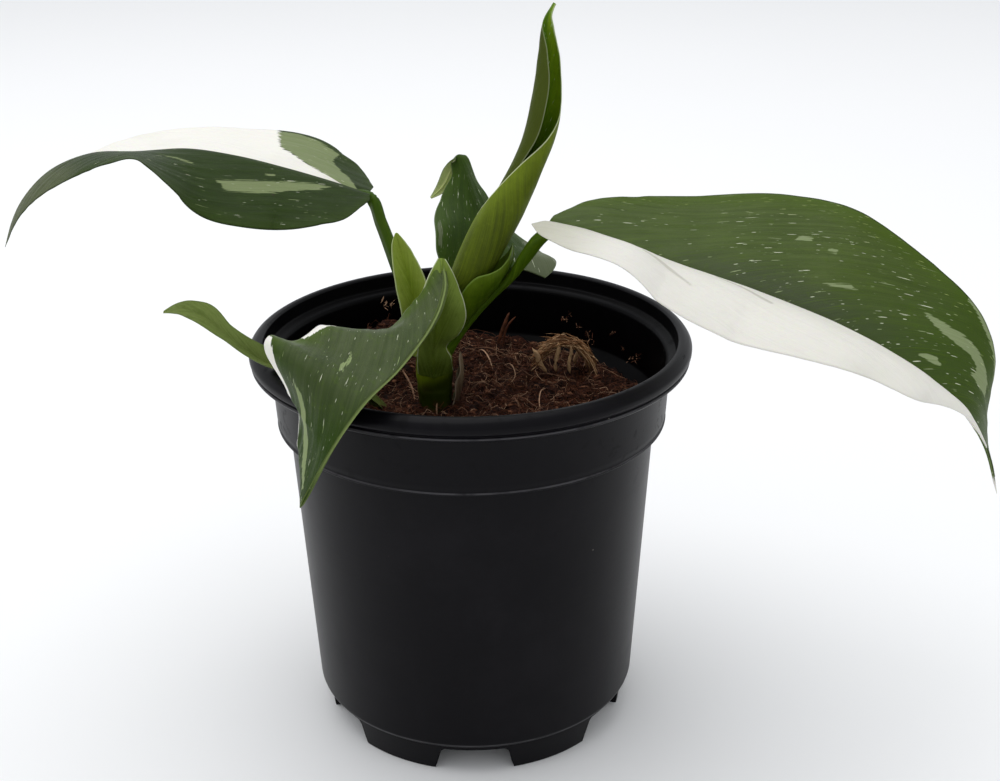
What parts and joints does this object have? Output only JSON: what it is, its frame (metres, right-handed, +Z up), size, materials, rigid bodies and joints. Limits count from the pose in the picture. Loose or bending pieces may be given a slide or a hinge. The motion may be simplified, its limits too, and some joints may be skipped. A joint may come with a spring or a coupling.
{
  "type": "potted white wizard philodendron",
  "caption": "Young philodendron with white and green marbled leaves on a short stem, in coir potting mix in a round tapered nursery pot; stands on its foot.",
  "frame": {"origin": "middle of the pot's foot, on the surface it stands on", "axes": "+Z up along the pot's axis; -Y towards the viewer of the picture, +X to the viewer's right, where the big leaf points"},
  "size_m": [0.2289, 0.1128, 0.1804],
  "materials": {
    "pot": "semi-matt black polypropylene",
    "potting_mix": "loose coir, fibrous",
    "stem": "smooth green stem",
    "leaf_left": "satin leaf, green and white",
    "leaf_right": "satin leaf, green and white",
    "leaf_upright": "satin leaf, light green",
    "leaf_back": "satin leaf, dark green with flecks",
    "leaf_front": "satin leaf, dark green with a white margin",
    "leaf_small_left": "satin leaf, yellow-green",
    "cataphyll": "thin pale green scale leaf",
    "dry_sheath": "papery and dry",
    "coir_husk": "torn coconut husk fibre"
  },
  "bodies": {
    "root": {"pot": "pot", "potting_mix": "potting_mix", "stem": "stem", "leaf_left": "leaf_left", "leaf_right": "leaf_right", "leaf_upright": "leaf_upright", "leaf_back": "leaf_back", "leaf_front": "leaf_front", "leaf_small_left": "leaf_small_left", "cataphyll": "cataphyll", "dry_sheath": "dry_sheath", "coir_husk": "coir_husk"}
  },
  "joints": []
}
